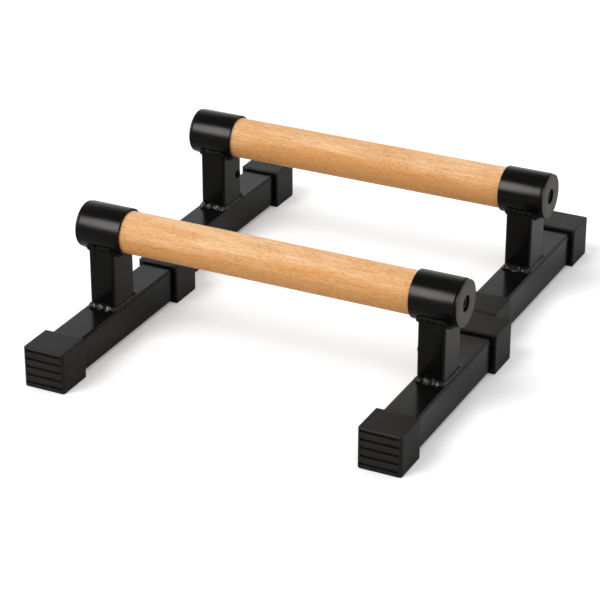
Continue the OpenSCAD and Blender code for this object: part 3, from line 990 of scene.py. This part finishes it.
def loop_round_upright(side, z):
    """A closed loop of points round the upright's outside, at one height."""
    points = []
    for cx, cy, first in ((1, 1, 0), (-1, 1, 90), (-1, -1, 180), (1, -1, 270)):
        for k in range(CORNER_STEPS + 1):
            angle = math.radians(first + 90 * k / CORNER_STEPS)
            x = cx * (UPRIGHT_W / 2 - UPRIGHT_CORNER) + UPRIGHT_CORNER * math.cos(angle)
            y = cy * (UPRIGHT_D / 2 - UPRIGHT_CORNER) + UPRIGHT_CORNER * math.sin(angle)
            points.append((side * STAND_X + x, y, z))
    return closed_loop("weld path", points)


for number, (stand, side) in enumerate(STANDS.items(), start=1):
    shift = SHIFT_BY_STAND * number
    foot = weld.run(loop_round_upright(side, BEAM_TOP), "foot weld bead", Front=UPRIGHT_D / 2, Shift=shift,
                    Material=FINISHES["weld_paint"], **FOOT_BEAD)
    settle(foot, f"{stand}_foot_weld", "bead")
    # The bead under the sleeve takes the weld paint with painted shade.
    upper = weld.run(loop_round_upright(side, 0.0), "sleeve weld bead", Front=UPRIGHT_D / 2,
                     Shift=shift + SHIFT_OF_UPPER, Material=FINISHES["thin_weld_paint"], **SLEEVE_BEAD)
    settle(upper, f"{stand}_sleeve_weld", "bead")
    print(stand, "welds:", len(foot.polygons) + len(upper.polygons), "faces")

# %% [markdown]
# Uprights, beams, washers and inserts have the right shape already: rectangular tube with its rolled
# corners, and plain rings. They keep it, and take their finish through their material slots.

# %% Finish the nodes that keep their shape
KEPT = {"upright": "black_paint", "beam": "black_paint", "washers": "fastener_steel",
        "inserts": "fastener_steel"}
kept_nodes = {name: KEPT[name.split("_")[-1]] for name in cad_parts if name.split("_")[-1] in KEPT}
for name, finish_name in kept_nodes.items():
    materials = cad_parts[name].data.materials
    materials.clear()
    materials.append(FINISHES[finish_name])
print("nodes that keep their shape:", len(kept_nodes))

# %% [markdown]
# ## Studio
# The photograph has a seamless white ground with a soft shadow close to the feet. The ground is a little
# grey to the light that bounces off it, white to the camera, with a trace of its own light, and between the
# two in the mirror of the paint. It keeps the shadows.

# %% Floor
GROUND_HALF = 14.0
GROUND_GREY = (0.76, 0.76, 0.76, 1)
WHITE = (1, 1, 1, 1)
GROUND_GLOW, MIRRORED_SHARE = 0.20, 0.25
ground_corners = [(x * GROUND_HALF, y * GROUND_HALF, 0) for x, y in ((-1, -1), (1, -1), (1, 1), (-1, 1))]
ground_mesh = raw_mesh("studio floor", ground_corners, faces=[(0, 1, 2, 3)])
floor = new_object("studio_floor", ground_mesh)
ground = Finish("white ground", Roughness=0.9, Specular_IOR_Level=0.0, Emission_Color=WHITE)
paths = ground.node("ShaderNodeLightPath").outputs
whiteness = ground.math("MAXIMUM", paths["Is Camera Ray"], paths["Is Transmission Ray"])
whiteness = ground.math("MAXIMUM", whiteness, ground.times(paths["Is Glossy Ray"], MIRRORED_SHARE))
glow = ground.times(paths["Is Camera Ray"], GROUND_GLOW)
ground.drive(Base_Color=ground.blend(whiteness, GROUND_GREY, WHITE), Emission_Strength=glow)
floor.data.materials.append(ground.material)
print("ground:", 2 * GROUND_HALF, "m wide")

# %% [markdown]
# The sky is white to the camera, and lights the scene about twice as much from overhead as from the side.
# The paint mirrors another sky: bright near the horizon and dim overhead, with a soft box at the upper
# left that gives the sleeves their highlight. The box shows only in the first mirror that a ray meets.

# %% Sky
LIGHT_AT_SIDE, LIGHT_OVERHEAD = 0.42, 0.86
GLOSS_AT_SIDE, GLOSS_OVERHEAD = 1.24, 0.28
GLOSS_FADES = (0.46, 0.88)
SOFTBOX_SIDE = Vector((-0.40, -0.74, 0.54)).normalized()
SOFTBOX_SPREAD, SOFTBOX_STRENGTH = math.radians(25), 19.0
FIRST_MIRROR = 2.5
world = bpy.data.worlds.new("even sky")
bpy.context.scene.world = world
world.use_nodes = True
sky = Graph(world.node_tree)
rays = sky.node("ShaderNodeLightPath").outputs
aim = sky.add("ShaderNodeTexCoord", outlet="Generated")
height = sky.parts(aim)["Z"]
lighting = sky.span(height, LIGHT_AT_SIDE, LIGHT_OVERHEAD)
mirror_sky = sky.span(height, GLOSS_AT_SIDE, GLOSS_OVERHEAD, *GLOSS_FADES, kind="SMOOTHSTEP")
toward_box = sky.dot(aim, SOFTBOX_SIDE)
softbox = sky.span(toward_box, 0.0, SOFTBOX_STRENGTH, math.cos(SOFTBOX_SPREAD), 1.0, kind="SMOOTHSTEP")
in_first = sky.math("LESS_THAN", rays["Ray Depth"], FIRST_MIRROR)
mirror_sky = sky.math("MULTIPLY_ADD", softbox, in_first, mirror_sky)
strength = sky.mix(rays["Is Glossy Ray"], lighting, mirror_sky)
strength = sky.mix(rays["Is Camera Ray"], strength, 1.0)
background = world.node_tree.nodes["Background"]
sky.feed(background.inputs["Color"], WHITE)
sky.feed(background.inputs["Strength"], strength)
print("sky:", len(sky.tree.nodes), "nodes")

# %% [markdown]
# One broad, weak sun from the upper left gives the soft shadows. It is left out of the gloss, where the
# soft box takes its place.

# %% Sun
SUN_SIDE = Vector((-0.31, -0.54, 0.78)).normalized()
sun = new_object("soft sun", bpy.data.lights.new("soft sun", "SUN"))
sun.data.energy = 1.27
sun.data.angle = math.radians(27)
sun.rotation_euler = SUN_SIDE.to_track_quat("Z", "Y").to_euler()
sun.visible_glossy = False
print("sun:", sun.data.energy, "over", round(math.degrees(sun.data.angle)), "degrees")

# %% [markdown]
# The camera stands where the photograph was taken: its place, direction and lens were worked out from the
# corners and ellipses of the front bar. The lens is given in pixels of the square picture.

# %% Camera
CAMERA_PLACE = (0.8349, -1.7223, 0.9524)
YAW, PITCH = math.radians(26.45), math.radians(-26.08)
FOCAL_PIXELS, PICTURE_PIXELS = 2329.0, 600.0
SENSOR = 36.0
camera = new_object("camera", bpy.data.cameras.new("camera"))
ahead = Vector((-math.sin(YAW) * math.cos(PITCH), math.cos(YAW) * math.cos(PITCH), math.sin(PITCH)))
camera.location = CAMERA_PLACE
camera.rotation_euler = ahead.to_track_quat("-Z", "Y").to_euler()
camera.data.sensor_width = SENSOR
camera.data.lens = FOCAL_PIXELS * SENSOR / PICTURE_PIXELS
camera.data.clip_end = 60.0
bpy.context.scene.camera = camera
bpy.context.scene.view_settings.view_transform = "Standard"
print("camera lens:", round(camera.data.lens, 1), "mm")
